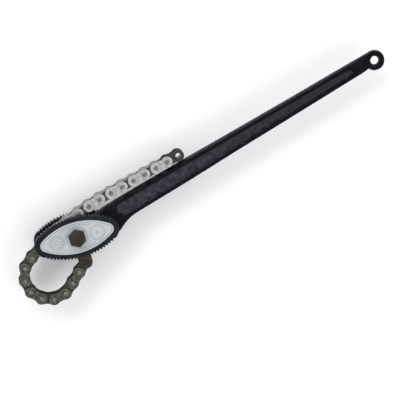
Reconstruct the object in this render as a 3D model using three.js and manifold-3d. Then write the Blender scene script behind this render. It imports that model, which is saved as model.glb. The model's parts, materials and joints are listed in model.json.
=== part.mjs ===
// Reversible chain pipe wrench, 24 inch class, lying flat on a bench. Millimetres, +Z up.
// Origin: on the main bolt's axis, at the nut's outer face, which the wrench lies on.
// +X runs along the handle to its hanging eye, and +Y points to the side that the chain's tail lies on.
import * as THREE from "three";
import { mergeVertices } from "three/addons/utils/BufferGeometryUtils.js";
import Module from "manifold-3d";

const wasm = await Module();
wasm.setup();

// ---- driving dimensions ----

const GAP = 0.3; // between faces that touch on the real tool
const TURN = Math.PI / 180;

// stack along the main bolt
const NUT_ACROSS_FLATS = 24;
const HEXAGON_TURN = 17 * TURN; // of the head's and the nut's corners from the handle's axis
const NUT_HEIGHT = 10;
const HEAD_HEIGHT = 8;
const HEAD_CHAMFER = 1.2;
const LOCK_WASHER_THICKNESS = 2.2;
const HEAD_WASHER_THICKNESS = 1.2;
const WASHER_RADIUS = 15;
const JAW_THICKNESS = 9;
const JAW_SPACE = 26.4; // between the jaws' inner faces
const BOLT_RADIUS = 7.9;
const BOLT_HOLE_RADIUS = 8.3;
const SLEEVE_RADIUS = 10.4;
const SLEEVE_HOLE_RADIUS = 10.8;

const REAR_JAW_Z = NUT_HEIGHT + LOCK_WASHER_THICKNESS + 2 * GAP;
const MID_Z = REAR_JAW_Z + JAW_THICKNESS + JAW_SPACE / 2;
const FRONT_JAW_Z = MID_Z + JAW_SPACE / 2;
const FRONT_FACE_Z = FRONT_JAW_Z + JAW_THICKNESS;
const HEAD_Z = FRONT_FACE_Z + HEAD_WASHER_THICKNESS + 2 * GAP;

// jaws: a leaf shape with round ends, teeth along both long edges
const JAW_LENGTH = 128;
const JAW_WIDTH = 62;
const JAW_END_RADIUS = 19;
const JAW_TURN = -15.7 * TURN; // of the jaws' long axis from the handle's
const TEETH_PER_EDGE = 21;
const TOOTH_TIP = 0.7; // beyond the leaf's edge
const TOOTH_ROOT = 1.7; // inside the leaf's edge
const TOOTHED_HALF_ANGLE = 28.5 * TURN;
const NAMEPLATE_LENGTH = 112;
const NAMEPLATE_WIDTH = 47;
const NAMEPLATE_END_RADIUS = 9;
const NAMEPLATE_THICKNESS = 1.2;
const NAMEPLATE_HOLE_RADIUS = WASHER_RADIUS + GAP;

// handle: an I-section beam that tapers towards the hanging eye
const TANG_HALF_THICKNESS = 8.7;
const BEAM_START_X = 34;
const SHOULDER_X = 82; // the beam is deeper on the bolt's side of it
const BEAM_ROOT_HALF_THICKNESS = 12;
const BEAM_END_HALF_THICKNESS = 9.5;
const WEB_HALF_THICKNESS = 3.6;
const FLANGE_HEIGHT = 5;
const POCKET_START_X = 68;
const POCKET_END_X = 482;
const EYE_X = 516;
const EYE_Y = -6.2;
const EYE_RADIUS = 15.5;
const EYE_HOLE_RADIUS = 6;
const EYE_HALF_THICKNESS = 8;

// the beam's edges, from the root to the eye: [x, upper y, lower y]
const BEAM_EDGES = [
  [BEAM_START_X, 13, -26],
  [58, 14.8, -29],
  [68, 15, -24],
  [SHOULDER_X, 15.2, -18],
  [110, 15.2, -18],
  [190, 14.2, -17.6],
  [270, 12.4, -16.2],
  [365, 10.8, -15.3],
  [490, 9.4, -13.9],
];

// the tang reaches under the jaws, round the bolt, to a nose that backs the chain
const TANG_CORNERS = [
  [38, 12.5],
  [14, 12.5],
  [-14, 7],
  [-21, 2],
  [-24, -3],
  [-22, -8],
  [-14, -16],
  [6, -20],
  [38, -25],
];

// the neck joins the beam's end to the eye's upper side, and leaves a notch below
const NECK_CORNERS = [
  [486, -13],
  [499, -13.4],
  [EYE_X, EYE_Y - 8],
  [EYE_X, EYE_Y + EYE_RADIUS - 0.4],
  [486, 9],
];

// chain: bush chain of 3/4 inch pitch
const PITCH = 19.05;
const PLATE_THICKNESS = 2.4;
const INNER_WIDTH = 12.6;
const INNER_PLATE_HEIGHT = 18;
const OUTER_PLATE_HEIGHT = 16.6;
const PLATE_WAIST = 0.8; // height at the waist over height at the ends
const PLATE_END_OPENING = 50 * TURN; // half the part of each round end that the waist takes
const PIN_RADIUS = 2.98;
const PIN_HOLE_RADIUS = 3.3;
const BUSH_RADIUS = 5;
const BUSH_PRESS = 0.5; // of the bush into the plates round it
const PIN_HALF_LENGTH = 12.4;
const END_HOLE_RADIUS = 4.1;

// chain route, as the heading of each link in degrees from the anchor to the free end
const ANCHOR = [-8.2, -41.6];
const LEAD_HEADINGS = [208, 208, 205];
const LOOP_RADIUS = 37.2;
const LOOP_LINKS = 6;
const TOP_HEADINGS = [18, 16, 13, 10, 8, 5, 2];
const TAIL_HEADING = -2;
const TAIL_LINKS = 7;
const DARK_LINKS = 12; // from the anchor: dulled by the work that the bright tail is spared

// shackle arms, either side of the tang and the chain's first link
const ARM_THICKNESS = 3.2;
const ARM_INNER_Z = 9.1;
const ARM_BOLT_END_RADIUS = 13.8;
const ARM_PIN_END_RADIUS = 9.6;

// sides of the polygons that stand for circles
const EYE_SIDES = 28;
const BOLT_SIDES = 20;
const WASHER_SIDES = 24;
const BUSH_SIDES = 12;
const PIN_SIDES = 10;

// ---- materials ----

const finish = (color, roughness, metalness) =>
  new THREE.MeshStandardMaterial({ color, roughness, metalness });

const blackPaint = finish(0x17181c, 0.38, 0.2);
const jawBlack = finish(0x1b1c21, 0.42, 0.3);
const plateSilver = finish(0xd4d7dc, 0.4, 0.35);
const boltBrown = finish(0x3c3430, 0.5, 0.6);
const tailSteel = finish(0xbcbcb8, 0.35, 0.75);
const tailInnerSteel = finish(0x77776f, 0.45, 0.7);
const loopSteel = finish(0x69675c, 0.5, 0.7);
const loopInnerSteel = finish(0x45433c, 0.55, 0.7);
const endLinkSteel = finish(0x46464a, 0.45, 0.7);
const shackleBrown = finish(0x3c3228, 0.55, 0.6);

// ---- solids ----

// A closed geometry as a manifold solid.
function solid(geometry) {
  geometry.deleteAttribute("normal");
  geometry.deleteAttribute("uv");
  const merged = mergeVertices(geometry, 1e-4);
  return new wasm.Manifold(
    new wasm.Mesh({
      numProp: 3,
      vertProperties: merged.attributes.position.array,
      triVerts: new Uint32Array(merged.index.array),
    }),
  );
}

// A manifold solid as a named mesh.
function part(name, body, material) {
  const { vertProperties, triVerts } = body.getMesh();
  const geometry = new THREE.BufferGeometry();
  geometry.setAttribute("position", new THREE.BufferAttribute(vertProperties, 3));
  geometry.setIndex(new THREE.BufferAttribute(triVerts, 1));
  geometry.computeVertexNormals();
  const mesh = new THREE.Mesh(geometry, material);
  mesh.name = name;
  return mesh;
}

// A flat outline, with holes [x, y, radius], as a solid between two heights.
function slab(outline, low, high, holes = [], holeSides = BUSH_SIDES) {
  const shape = new THREE.Shape(outline);
  for (const [x, y, radius] of holes) {
    shape.holes.push(new THREE.Path(circle(x, y, radius, holeSides).reverse()));
  }
  const geometry = new THREE.ExtrudeGeometry(shape, { depth: high - low, bevelEnabled: false });
  return solid(geometry.translate(0, 0, low));
}

function circle(x, y, radius, sides) {
  return arc(x, y, radius, 0, 2 * Math.PI * (1 - 1 / sides), sides - 1);
}

// Points along an arc, both ends included.
function arc(x, y, radius, from, to, steps) {
  return Array.from({ length: steps + 1 }, (_, i) => {
    const a = from + ((to - from) * i) / steps;
    return new THREE.Vector2(x + radius * Math.cos(a), y + radius * Math.sin(a));
  });
}

function disc(x, y, radius, low, high, sides) {
  return slab(circle(x, y, radius, sides), low, high);
}

// The points of a table of corners.
const corners = (table) => table.map(([x, y]) => new THREE.Vector2(x, y));

function turned(outline, angle) {
  return outline.map((p) => p.clone().rotateAround(new THREE.Vector2(), angle));
}

// ---- jaws ----

// The leaf's long edges are arcs of one radius, its ends are small arcs tangent to them.
function leaf(length, width, endRadius, edge) {
  const tip = length / 2 - endRadius;
  const rise = width / 2 - endRadius;
  const innerRadius = (tip * tip + rise * rise) / (2 * rise);
  const edgeRadius = innerRadius + endRadius;
  const drop = innerRadius - rise;
  const half = Math.asin(tip / innerRadius);
  const right = arc(tip, 0, endRadius, half - Math.PI / 2, Math.PI / 2 - half, 5);
  const top = edge(edgeRadius, half).map((p) => p.add(new THREE.Vector2(0, -drop)));
  const upper = [...right, ...top];
  return [...upper, ...turned(upper, Math.PI)];
}

// Both edge functions run anticlockwise over the top of an arc centred on the origin.
function plainEdge(radius, half) {
  return arc(0, 0, radius, Math.PI / 2 - half, Math.PI / 2 + half, 24).slice(1, -1);
}

function toothedEdge(radius) {
  const steps = 2 * TEETH_PER_EDGE;
  return Array.from({ length: steps + 1 }, (_, i) => {
    const a = Math.PI / 2 + TOOTHED_HALF_ANGLE * ((2 * i) / steps - 1);
    const r = radius + (i % 2 ? TOOTH_TIP : -TOOTH_ROOT);
    return new THREE.Vector2(r * Math.cos(a), r * Math.sin(a));
  });
}

function nameplateOutline(extra) {
  const length = NAMEPLATE_LENGTH + 2 * extra;
  return leaf(length, NAMEPLATE_WIDTH + 2 * extra, NAMEPLATE_END_RADIUS, plainEdge);
}

// A jaw with a recess for its nameplate in its outer face.
function jaw(low, outerFace) {
  const outline = turned(leaf(JAW_LENGTH, JAW_WIDTH, JAW_END_RADIUS, toothedEdge), JAW_TURN);
  const body = bored(outline, low, JAW_THICKNESS);
  const depth = NAMEPLATE_THICKNESS + GAP;
  const recess = slab(turned(nameplateOutline(GAP), JAW_TURN), -depth, depth);
  const raised = disc(0, 0, WASHER_RADIUS - GAP, -2 * depth, 2 * depth, WASHER_SIDES);
  return body.subtract(recess.subtract(raised).translate([0, 0, outerFace]));
}

function nameplate(low) {
  const outline = turned(nameplateOutline(0), JAW_TURN);
  const hole = [0, 0, NAMEPLATE_HOLE_RADIUS];
  return slab(outline, low, low + NAMEPLATE_THICKNESS, [hole], WASHER_SIDES);
}

// ---- main bolt ----

function hexagon(acrossFlats) {
  return turned(circle(0, 0, acrossFlats / Math.sqrt(3), 6), HEXAGON_TURN);
}

function jawBolt() {
  const high = HEAD_Z + HEAD_HEIGHT;
  const head = slab(hexagon(NUT_ACROSS_FLATS), HEAD_Z, high);
  const beyondCorners = NUT_ACROSS_FLATS / Math.sqrt(3) + GAP;
  const dome = new THREE.LatheGeometry(
    [
      new THREE.Vector2(0, FRONT_FACE_Z),
      new THREE.Vector2(beyondCorners, FRONT_FACE_Z),
      new THREE.Vector2(beyondCorners, high - HEAD_CHAMFER),
      new THREE.Vector2(NUT_ACROSS_FLATS / 2, high),
      new THREE.Vector2(0, high),
    ],
    WASHER_SIDES,
  ).rotateX(Math.PI / 2);
  const shank = disc(0, 0, BOLT_RADIUS, 0, high - HEAD_CHAMFER, BOLT_SIDES);
  return head.intersect(solid(dome)).add(shank);
}

// An outline of some thickness with the main bolt's hole through it.
function bored(outline, low, thickness) {
  return slab(outline, low, low + thickness, [[0, 0, BOLT_HOLE_RADIUS]], BOLT_SIDES);
}

function jawNut() {
  return bored(hexagon(NUT_ACROSS_FLATS), 0, NUT_HEIGHT);
}

function washer(low, thickness) {
  return bored(circle(0, 0, WASHER_RADIUS, WASHER_SIDES), low, thickness);
}

function pivotSleeve() {
  const length = JAW_SPACE - 2 * GAP;
  return bored(circle(0, 0, SLEEVE_RADIUS, WASHER_SIDES), MID_Z - length / 2, length);
}

// ---- handle ----

// The beam's upper and lower y at x.
function edgeAt(x) {
  const i = Math.max(1, BEAM_EDGES.findIndex((e) => e[0] >= x));
  const [a, b] = [BEAM_EDGES[i - 1], BEAM_EDGES[i]];
  const t = (x - a[0]) / (b[0] - a[0]);
  return [a[1] + t * (b[1] - a[1]), a[2] + t * (b[2] - a[2])];
}

function beamOutline() {
  const upper = corners(BEAM_EDGES.map(([x, y]) => [x, y]));
  const lower = corners(BEAM_EDGES.map(([x, , y]) => [x, y]));
  return [...lower, ...upper.reverse()];
}

// Trims the beam's faces so that it thins from root to eye.
function beamTaper() {
  const [x0, x1] = [BEAM_START_X - GAP, EYE_X + EYE_RADIUS + GAP];
  const side = [
    new THREE.Vector2(x0, -BEAM_ROOT_HALF_THICKNESS),
    new THREE.Vector2(x1, -BEAM_END_HALF_THICKNESS),
    new THREE.Vector2(x1, BEAM_END_HALF_THICKNESS),
    new THREE.Vector2(x0, BEAM_ROOT_HALF_THICKNESS),
  ];
  const body = slab(side, -BEAM_START_X, BEAM_START_X);
  return body.rotate([90, 0, 0]).translate([0, 0, MID_Z]);
}

// The pocket between the flanges, with round ends, cut from one face of the beam.
function pocket(low, high) {
  const root = pocketEnd(POCKET_START_X, 1);
  const end = pocketEnd(POCKET_END_X, -1);
  return slab([...root, ...end], low, high);
}

// The half circle that ends the pocket at x, bulging away from the pocket's inside.
function pocketEnd(x, inward) {
  const [up, down] = edgeAt(Math.max(x, SHOULDER_X));
  const radius = (up - down) / 2 - FLANGE_HEIGHT;
  const start = (inward * Math.PI) / 2;
  return arc(x + inward * radius, (up + down) / 2, radius, start, start + Math.PI, 8);
}

function handle() {
  const mid = (halfThickness) => [MID_Z - halfThickness, MID_Z + halfThickness];
  const deep = 2 * BEAM_ROOT_HALF_THICKNESS;
  const beam = slab(beamOutline(), ...mid(deep)).intersect(beamTaper());
  const tang = slab(corners(TANG_CORNERS), ...mid(TANG_HALF_THICKNESS));
  const neck = slab(corners(NECK_CORNERS), ...mid(EYE_HALF_THICKNESS));
  const eye = disc(EYE_X, EYE_Y, EYE_RADIUS, ...mid(EYE_HALF_THICKNESS), EYE_SIDES);
  const pivotHole = disc(0, 0, SLEEVE_HOLE_RADIUS, ...mid(deep), WASHER_SIDES);
  const eyeHole = disc(EYE_X, EYE_Y, EYE_HOLE_RADIUS, ...mid(deep), BOLT_SIDES);
  return beam
    .add(tang)
    .add(neck)
    .add(eye)
    .subtract(pocket(MID_Z + WEB_HALF_THICKNESS, MID_Z + deep))
    .subtract(pocket(MID_Z - deep, MID_Z - WEB_HALF_THICKNESS))
    .subtract(pivotHole)
    .subtract(eyeHole);
}

// ---- chain ----

// Heading of every link from the anchor to the free end, in radians.
function headings() {
  const bend = (2 * Math.asin(PITCH / (2 * LOOP_RADIUS))) / TURN;
  const last = LEAD_HEADINGS.at(-1);
  const loop = Array.from({ length: LOOP_LINKS }, (_, i) => last - bend * (i + 1));
  const tail = Array(TAIL_LINKS).fill(TAIL_HEADING);
  return [...LEAD_HEADINGS, ...loop, ...TOP_HEADINGS, ...tail].map((h) => h * TURN);
}

// A figure-of-eight plate lying along +X from pin to pin.
function linkOutline(height) {
  const r = height / 2;
  const waist = r * PLATE_WAIST;
  const open = PLATE_END_OPENING;
  const far = arc(PITCH, 0, r, open - Math.PI, Math.PI - open, 8);
  const near = arc(0, 0, r, open, 2 * Math.PI - open, 8);
  const middle = new THREE.Vector2(PITCH / 2, waist);
  return [...far, middle, ...near, middle.clone().setY(-waist)];
}

const bothEnds = (radius) => [
  [0, 0, radius],
  [PITCH, 0, radius],
];

function linkPlate(height, low, holeRadius) {
  const holes = bothEnds(holeRadius);
  return slab(linkOutline(height), low, low + PLATE_THICKNESS, holes, PIN_SIDES);
}

// Two plates on two bushes; the free end's bush has the wider hole that a hook goes in.
function innerLink(isLast) {
  const reach = INNER_WIDTH / 2 + PLATE_THICKNESS;
  const plates = [-reach, INNER_WIDTH / 2].map((z) =>
    linkPlate(INNER_PLATE_HEIGHT, z, BUSH_RADIUS - BUSH_PRESS),
  );
  const radii = [PIN_HOLE_RADIUS, isLast ? END_HOLE_RADIUS : PIN_HOLE_RADIUS];
  const bushes = radii.map((radius, i) => {
    const outline = circle(i * PITCH, 0, BUSH_RADIUS, BUSH_SIDES);
    return slab(outline, -reach, reach, [[i * PITCH, 0, radius]], PIN_SIDES);
  });
  return plates[0].add(plates[1]).add(bushes[0]).add(bushes[1]);
}

const OUTER_PLATE_Z = INNER_WIDTH / 2 + PLATE_THICKNESS + GAP;

// The rear plate with its two riveted pins.
function pinLink() {
  const plate = slab(
    linkOutline(OUTER_PLATE_HEIGHT),
    -OUTER_PLATE_Z - PLATE_THICKNESS,
    -OUTER_PLATE_Z,
  );
  const pins = [0, PITCH].map((x) =>
    disc(x, 0, PIN_RADIUS, -PIN_HALF_LENGTH, PIN_HALF_LENGTH, PIN_SIDES),
  );
  return plate.add(pins[0]).add(pins[1]);
}

function coverPlate() {
  return linkPlate(OUTER_PLATE_HEIGHT, OUTER_PLATE_Z, PIN_HOLE_RADIUS);
}

function chain() {
  const group = new THREE.Group();
  const all = headings();
  let [x, y] = ANCHOR;
  all.forEach((heading, i) => {
    const link = new THREE.Group();
    link.position.set(x, y, MID_Z);
    link.rotation.z = heading;
    const number = String(i + 1).padStart(2, "0");
    const last = i === all.length - 1;
    const steel = chainFinish(i, all.length);
    if (i % 2) {
      link.add(part("pin_link_" + number, pinLink(), steel));
      link.add(part("cover_plate_" + number, coverPlate(), steel));
    } else {
      link.add(part("inner_link_" + number, innerLink(last), steel));
    }
    group.add(link);
    x += PITCH * Math.cos(heading);
    y += PITCH * Math.sin(heading);
  });
  return group;
}

// The tail is bright, the working length is oiled and dark, and the end link is blackened.
// Inner links are duller than outer ones, which rub against the jaws.
function chainFinish(index, count) {
  if (index === count - 1) return endLinkSteel;
  const inner = index % 2 === 0;
  if (index < DARK_LINKS) return inner ? loopInnerSteel : loopSteel;
  return inner ? tailInnerSteel : tailSteel;
}

// ---- shackle ----

// Two round ends of different size joined by their outer tangents.
function armOutline() {
  const anchor = new THREE.Vector2(...ANCHOR);
  const along = anchor.angle();
  const lean = Math.acos((ARM_BOLT_END_RADIUS - ARM_PIN_END_RADIUS) / anchor.length());
  const small = arc(anchor.x, anchor.y, ARM_PIN_END_RADIUS, along - lean, along + lean, 8);
  const round = 2 * Math.PI;
  const big = arc(0, 0, ARM_BOLT_END_RADIUS, along + lean, along - lean + round, 14);
  return [...small, ...big];
}

function shackleArm(low) {
  const pinHole = [...ANCHOR, PIN_HOLE_RADIUS];
  const boltHole = [0, 0, SLEEVE_HOLE_RADIUS];
  return slab(armOutline(), low, low + ARM_THICKNESS, [boltHole, pinHole], BOLT_SIDES);
}

function anchorPin() {
  const [low, high] = [MID_Z - PIN_HALF_LENGTH, MID_Z + PIN_HALF_LENGTH];
  return disc(...ANCHOR, PIN_RADIUS, low, high, PIN_SIDES);
}

// ---- assembly ----

function head() {
  const group = new THREE.Group();
  group.add(part("front_jaw", jaw(FRONT_JAW_Z, FRONT_FACE_Z), jawBlack));
  group.add(part("rear_jaw", jaw(REAR_JAW_Z, REAR_JAW_Z), jawBlack));
  group.add(part("front_nameplate", nameplate(FRONT_FACE_Z - NAMEPLATE_THICKNESS), plateSilver));
  group.add(part("rear_nameplate", nameplate(REAR_JAW_Z), plateSilver));
  group.add(part("jaw_bolt", jawBolt(), boltBrown));
  group.add(part("jaw_nut", jawNut(), boltBrown));
  group.add(part("lock_washer", washer(NUT_HEIGHT + GAP, LOCK_WASHER_THICKNESS), boltBrown));
  group.add(part("head_washer", washer(FRONT_FACE_Z + GAP, HEAD_WASHER_THICKNESS), plateSilver));
  group.add(part("pivot_sleeve", pivotSleeve(), boltBrown));
  return group;
}

function shackle() {
  const group = new THREE.Group();
  const frontZ = MID_Z + ARM_INNER_Z;
  const rearZ = MID_Z - ARM_INNER_Z - ARM_THICKNESS;
  group.add(part("shackle_front_arm", shackleArm(frontZ), shackleBrown));
  group.add(part("shackle_rear_arm", shackleArm(rearZ), shackleBrown));
  group.add(part("anchor_pin", anchorPin(), boltBrown));
  return group;
}

const wrench = new THREE.Group();
wrench.name = "chain_pipe_wrench";
wrench.add(part("handle", handle(), blackPaint));
wrench.add(head(), shackle(), chain());

export default wrench;
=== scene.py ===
# Reversible chain pipe wrench: the looks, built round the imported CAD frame. Metres, +Z up.
import itertools
import json
import math

import bpy
import numpy as np
from mathutils import Matrix, Vector
from mathutils.geometry import delaunay_2d_cdt
from mathutils.kdtree import KDTree


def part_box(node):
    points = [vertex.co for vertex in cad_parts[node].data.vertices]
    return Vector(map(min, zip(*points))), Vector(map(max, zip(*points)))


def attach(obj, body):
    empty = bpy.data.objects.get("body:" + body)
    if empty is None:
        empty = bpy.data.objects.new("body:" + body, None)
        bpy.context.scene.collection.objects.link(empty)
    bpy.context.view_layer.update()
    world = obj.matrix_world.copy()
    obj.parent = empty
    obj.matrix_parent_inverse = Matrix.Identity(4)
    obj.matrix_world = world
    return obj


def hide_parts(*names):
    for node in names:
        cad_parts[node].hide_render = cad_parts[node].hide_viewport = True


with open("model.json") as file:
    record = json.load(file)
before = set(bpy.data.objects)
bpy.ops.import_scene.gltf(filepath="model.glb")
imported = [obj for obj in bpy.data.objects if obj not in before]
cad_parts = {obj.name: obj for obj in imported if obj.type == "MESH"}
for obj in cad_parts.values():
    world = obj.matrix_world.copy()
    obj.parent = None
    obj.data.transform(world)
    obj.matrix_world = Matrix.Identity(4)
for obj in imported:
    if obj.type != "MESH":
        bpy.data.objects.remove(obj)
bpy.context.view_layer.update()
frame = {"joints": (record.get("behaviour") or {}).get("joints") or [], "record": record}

MM = 0.001


# ---- where things are, from the frame (millimetres) ----

def box_mm(node):
    low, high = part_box(node)
    return np.array(low) / MM, np.array(high) / MM


def span(node):
    """A node's lowest and highest z."""
    low, high = box_mm(node)
    return low[2], high[2]


JOINTS = {joint["name"]: joint for joint in frame["joints"]}
HINGES = ["anchor_hinge"] + sorted(name for name in JOINTS if name.startswith("chain_hinge_"))
HINGE_POINTS = [np.array(JOINTS[name]["pos_m"]) / MM for name in HINGES]
PITCH = float(np.linalg.norm(HINGE_POINTS[1] - HINGE_POINTS[0]))
MID_Z = float(HINGE_POINTS[0][2])
ANCHOR = HINGE_POINTS[0][:2]

REAR_JAW_LOW, FRONT_JAW_HIGH = span("rear_jaw")[0], span("front_jaw")[1]
JAW_THICKNESS = float(np.ptp(span("front_jaw")))
NAMEPLATE_THICKNESS = float(np.ptp(span("front_nameplate")))
EYE_END_X = box_mm("handle")[1][0]


# ---- camera ----

CAMERA_TILT_UP = math.radians(10.7)  # off the wrench's face normal, towards the view's top
CAMERA_TILT_RIGHT = math.radians(-7.9)  # and towards its right
VIEW_ROLL = math.radians(31.64)  # so that the handle runs up to the right
CAMERA_AIM = Vector((184.8, -52.4, MID_Z)) * MM
CAMERA_DISTANCE = 2.4985
LENS = 150.0
SENSOR = 36.0
CLIP_NEAR, CLIP_FAR = 0.05, 20.0


def camera_axes():
    """The view's right and up, and the way back to the camera."""
    right = Vector((math.cos(VIEW_ROLL), -math.sin(VIEW_ROLL), 0))
    up = Vector((math.sin(VIEW_ROLL), math.cos(VIEW_ROLL), 0))
    back = Vector((0, 0, 1)) + right * math.tan(CAMERA_TILT_RIGHT) + up * math.tan(CAMERA_TILT_UP)
    back.normalize()
    right = (right - back * right.dot(back)).normalized()
    return right, back.cross(right), back


def add_camera():
    """Looks at the front jaw's face, slightly from above, with the handle running up to the right."""
    data = bpy.data.cameras.new("camera")
    data.lens = LENS
    data.sensor_width = SENSOR
    data.clip_start = CLIP_NEAR
    data.clip_end = CLIP_FAR
    camera = bpy.data.objects.new("camera", data)
    bpy.context.scene.collection.objects.link(camera)
    right, up, back = camera_axes()
    place = CAMERA_AIM + back * CAMERA_DISTANCE
    camera.matrix_world = Matrix.Translation(place) @ Matrix((right, up, back)).transposed().to_4x4()
    bpy.context.scene.camera = camera


# ---- shape constants (millimetres, the CAD model's own) ----

EYE_RADIUS = 15.5
EYE_Y = -6.2
EYE_X = EYE_END_X - EYE_RADIUS
EYE_HOLE_RADIUS = 6.0
EYE_HALF_THICKNESS = 8.0
BOLT_HOLE_RADIUS = 8.3
SLEEVE_HOLE_RADIUS = 10.8
ACROSS_FLATS = 24.0
HEAD_HEIGHT = 8.0
WASHER_RADIUS = 15.0

JAW_LENGTH, JAW_WIDTH, JAW_END_RADIUS = 128.0, 62.0, 19.0
JAW_TURN = math.radians(-15.7)
TEETH_PER_EDGE = 21
TOOTH_TIP, TOOTH_ROOT = 0.7, 1.7  # beyond and inside the leaf's edge
TOOTHED_HALF_ANGLE = math.radians(28.5)
TOOTH_CORNERS = (  # share of a tooth's step, distance beyond the leaf's edge
    (0.04, -TOOTH_ROOT), (0.42, TOOTH_TIP), (0.58, TOOTH_TIP), (0.96, -TOOTH_ROOT),
)
NAMEPLATE_LENGTH, NAMEPLATE_WIDTH, NAMEPLATE_END_RADIUS = 112.0, 47.0, 9.0
RECESS_DEPTH = 1.5

BEAM_START_X = 34.0
TANG_HALF_THICKNESS = 8.7
BEAM_ROOT_HALF_THICKNESS, BEAM_END_HALF_THICKNESS = 12.0, 9.5
WEB_HALF_THICKNESS = 3.6
FLANGE_HEIGHT = 5.0
POCKET_START_X, POCKET_END_X = 68.0, 482.0
POCKET_END_SHARE = 0.98  # of the pocket's half width, the radius of its ends
SHOULDER_X = 82.0
BEAM_EDGES = [  # x, upper y, lower y
    (SHOULDER_X, 15.2, -18.0), (110, 15.2, -18.0), (190, 14.2, -17.6),
    (270, 12.4, -16.2), (365, 10.8, -15.3), (490, 9.4, -13.9),
]

PLATE_THICKNESS = 2.4
INNER_WIDTH = 12.6
INNER_PLATE_HEIGHT, OUTER_PLATE_HEIGHT = 18.0, 16.6
PLATE_WAIST = 0.8
PIN_RADIUS = 2.98
BUSH_BORE_RADIUS, BUSH_RADIUS = 3.3, 5.0
PIN_HALF_LENGTH = 12.4
END_HOLE_RADIUS = 4.1
ARM_THICKNESS, ARM_INNER_Z = 3.2, 9.1
ARM_BOLT_END_RADIUS, ARM_PIN_END_RADIUS = 13.8, 9.6
GAP = 0.3


# ---- outlines: numpy arrays of [x, y], anticlockwise ----

FILLET_STEP = 1.2  # length of a fillet's facets
FILLET_SHARE = 0.49  # of a side, the most that one fillet may take
NEARLY_STRAIGHT = math.radians(89.9)  # half a corner's angle, above which it isn't rounded
CHUNK = 200  # edges measured against at a time
CROSSED_OVER = 0.985  # of its distance, below which an inset point is left out
TINY = 1e-12  # keeps a division from being by nothing
SHORT = 1e-9


def arc(x, y, radius, start, end, steps):
    a = np.linspace(start, end, steps + 1)
    return np.stack([x + radius * np.cos(a), y + radius * np.sin(a)], 1)


def circle(x, y, radius, sides):
    return arc(x, y, radius, 0, 2 * math.pi * (1 - 1 / sides), sides - 1)


def turned(points, angle):
    c, s = math.cos(angle), math.sin(angle)
    return points @ np.array([[c, s], [-s, c]])


def filleted(corners):
    """A polygon of (x, y, radius) corners with each corner rounded, as an outline."""
    points = []
    count = len(corners)
    for i, (x, y, radius) in enumerate(corners):
        corner = np.array([x, y], float)
        before = np.array(corners[i - 1][:2], float) - corner
        after = np.array(corners[(i + 1) % count][:2], float) - corner
        length_before, length_after = np.linalg.norm(before), np.linalg.norm(after)
        before, after = before / length_before, after / length_after
        half = math.acos(np.clip(before @ after, -1, 1)) / 2
        if radius <= 0 or half > NEARLY_STRAIGHT:
            points.append(corner)
            continue
        reach = min(radius / math.tan(half), FILLET_SHARE * min(length_before, length_after))
        radius = reach * math.tan(half)
        middle = (before + after) / np.linalg.norm(before + after)
        centre = corner + middle * radius / math.sin(half)
        first, last = corner + before * reach, corner + after * reach
        start = math.atan2(*(first - centre)[::-1])
        end = math.atan2(*(last - centre)[::-1])
        sweep = (end - start + math.pi) % (2 * math.pi) - math.pi
        steps = max(2, int(abs(sweep) * radius / FILLET_STEP))
        points.extend(arc(*centre, radius, start, start + sweep, steps))
    return np.array(points)


def resampled(outline, step):
    """The same closed outline with its long sides divided, its own corners kept."""
    points = []
    for a, b in zip(outline, np.roll(outline, -1, 0)):
        count = max(1, int(round(np.linalg.norm(b - a) / step)))
        points.extend(a + (b - a) * t / count for t in range(count))
    return np.array(points)


def distance_to(points, loops):
    """Each point's distance to the nearest edge of the closed loops."""
    best = np.full(len(points), np.inf)
    for loop in loops:
        for begin in range(0, len(loop), CHUNK):
            a = loop[begin:begin + CHUNK]
            b = np.roll(loop, -1, 0)[begin:begin + CHUNK]
            side = b - a
            length2 = np.maximum((side ** 2).sum(1), TINY)
            away = points[:, None, :] - a[None]
            t = np.clip((away * side).sum(2) / length2, 0, 1)
            near = away - t[:, :, None] * side
            best = np.minimum(best, np.sqrt((near ** 2).sum(2)).min(1))
    return best


def inside(points, loop):
    """Even-odd test of each point against one closed loop."""
    a, b = loop, np.roll(loop, -1, 0)
    x, y = points[:, 0, None], points[:, 1, None]
    spans = (a[:, 1] > y) != (b[:, 1] > y)
    rise = np.where(b[:, 1] == a[:, 1], TINY, b[:, 1] - a[:, 1])
    cross = a[:, 0] + (y - a[:, 1]) * (b[:, 0] - a[:, 0]) / rise
    return (spans & (x < cross)).sum(1) % 2 == 1


def inset(loop, distance, outward=False):
    """The loop moved inwards by a distance, with the points that cross over left out."""
    along = np.roll(loop, -1, 0) - np.roll(loop, 1, 0)
    normal = np.stack([-along[:, 1], along[:, 0]], 1)
    normal /= np.maximum(np.linalg.norm(normal, axis=1), SHORT)[:, None]
    moved = loop + normal * distance * (-1 if outward else 1)
    keep = distance_to(moved, [loop]) > distance * CROSSED_OVER
    return moved[keep]


# ---- relief: a solid between two height fields over a flat outline ----

ROUNDING_STEPS = 4
GRID_RISE = 0.866  # of the spacing, between the rows of the filling
CLEAR_SHARE = 0.62  # of the spacing, kept clear round every other point
THIN_CELL = 0.5  # the most that two points along an edge are kept apart
THIN_LEAST = 0.08  # and the least
THIN_SHARE = 0.35  # of their depth, in between
MERGE_WITHIN = 1e-5
WELD_WITHIN = 1e-6  # of height, where top and bottom meet in one edge


def rounding(radius, steps=ROUNDING_STEPS):
    """Distances from an edge at which a quarter round needs a row of points."""
    return [radius * (1 - math.cos(math.pi / 2 * i / steps)) for i in range(1, steps + 1)]


def round_drop(distance, radius):
    """How far a quarter-round edge lies below its face, at a distance from the edge."""
    d = np.clip(distance, 0, radius)
    return radius - np.sqrt(np.maximum(radius ** 2 - (radius - d) ** 2, 0))


def on_sheet(points, outer, holes):
    """Whether each point lies inside the outline and outside its holes."""
    on = inside(points, outer)
    for hole in holes:
        on &= ~inside(points, hole)
    return on


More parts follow.
